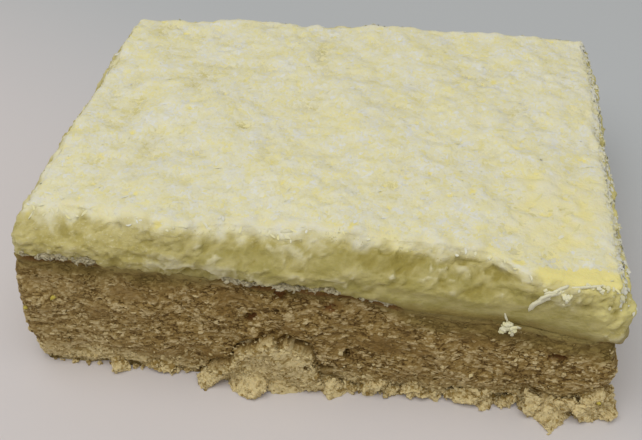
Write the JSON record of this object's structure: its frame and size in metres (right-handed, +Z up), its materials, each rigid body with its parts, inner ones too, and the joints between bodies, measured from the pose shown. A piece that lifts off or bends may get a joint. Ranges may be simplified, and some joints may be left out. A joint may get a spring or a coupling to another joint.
{
  "type": "lemon slice",
  "caption": "Oblong hand-cut bar of pressed biscuit-and-coconut crumb under a thick layer of lemon icing with desiccated coconut, a sweet traybake portion.",
  "frame": {"origin": "on the surface that the bar stands on, under the middle of its bounding box", "axes": "+X along the bar's length, -Y out of the front cut, +Z up from the base to the icing"},
  "size_m": [0.0999, 0.0839, 0.0323],
  "materials": {
    "crumb_base": "coarse, matte, granular crumb",
    "lemon_icing": "soft satin butter icing",
    "coconut": "matte white shreds"
  },
  "bodies": {
    "root": {"crumb_base": "crumb_base", "lemon_icing": "lemon_icing"}
  },
  "joints": []
}
